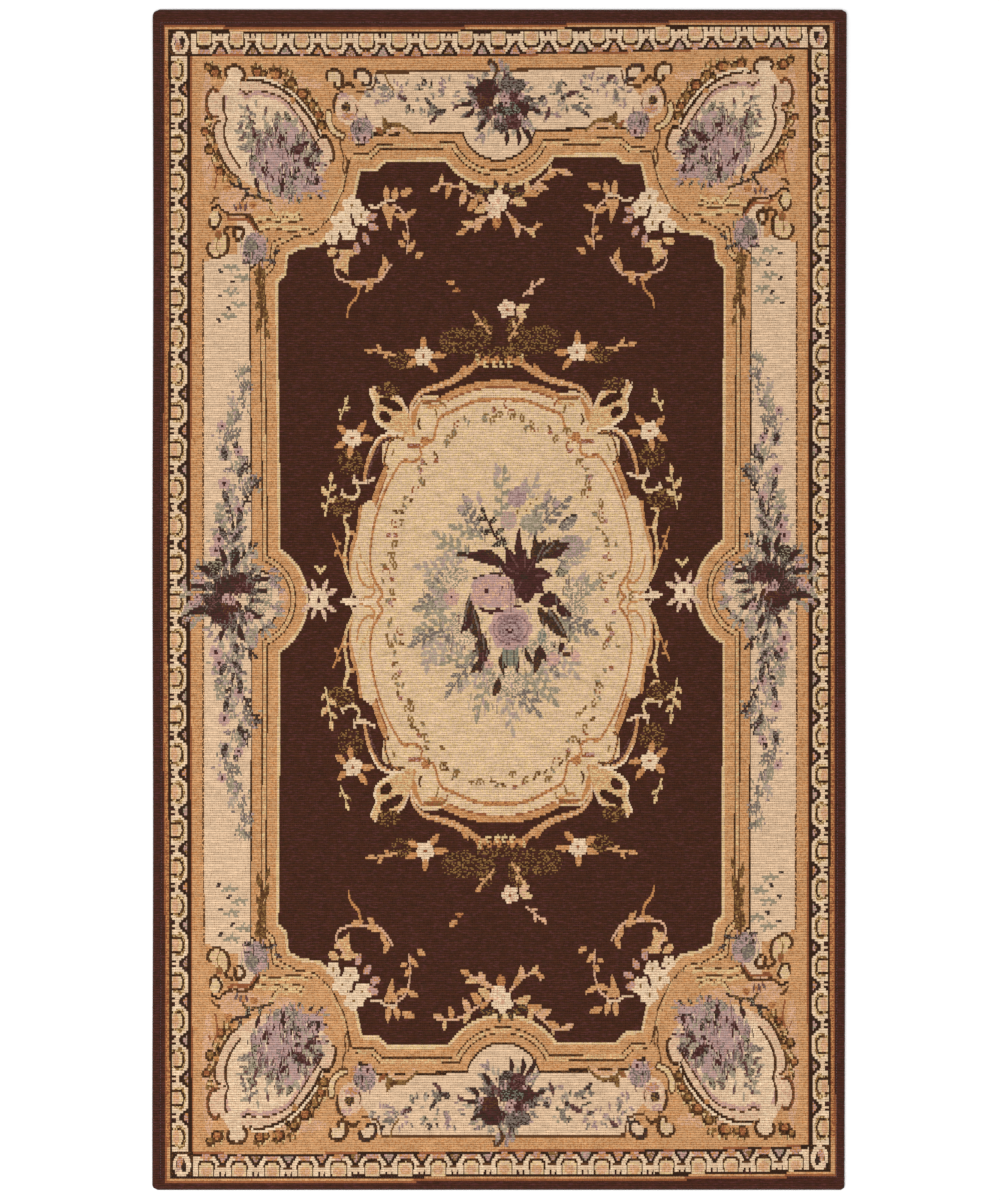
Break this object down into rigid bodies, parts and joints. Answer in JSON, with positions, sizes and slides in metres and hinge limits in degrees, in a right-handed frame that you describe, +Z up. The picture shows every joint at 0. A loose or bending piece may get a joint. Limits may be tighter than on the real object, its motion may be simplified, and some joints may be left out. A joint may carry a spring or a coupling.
{
  "type": "rug",
  "caption": "Flat-woven chenille rug with a floral medallion, cream panels, a shell border and a turned, stitched hem, lying flat.",
  "frame": {"origin": "middle of the underside, on the floor", "axes": "+X across the rug, +Y along its length towards the end at the top of the picture, +Z up out of the woven face"},
  "size_m": [0.882, 1.5, 0.0052],
  "materials": {
    "woven_cloth": "matt chenille weave, dark brown ground with cream, gold and dusty pink pattern"
  },
  "bodies": {
    "root": {"rug": "woven_cloth"}
  },
  "joints": []
}
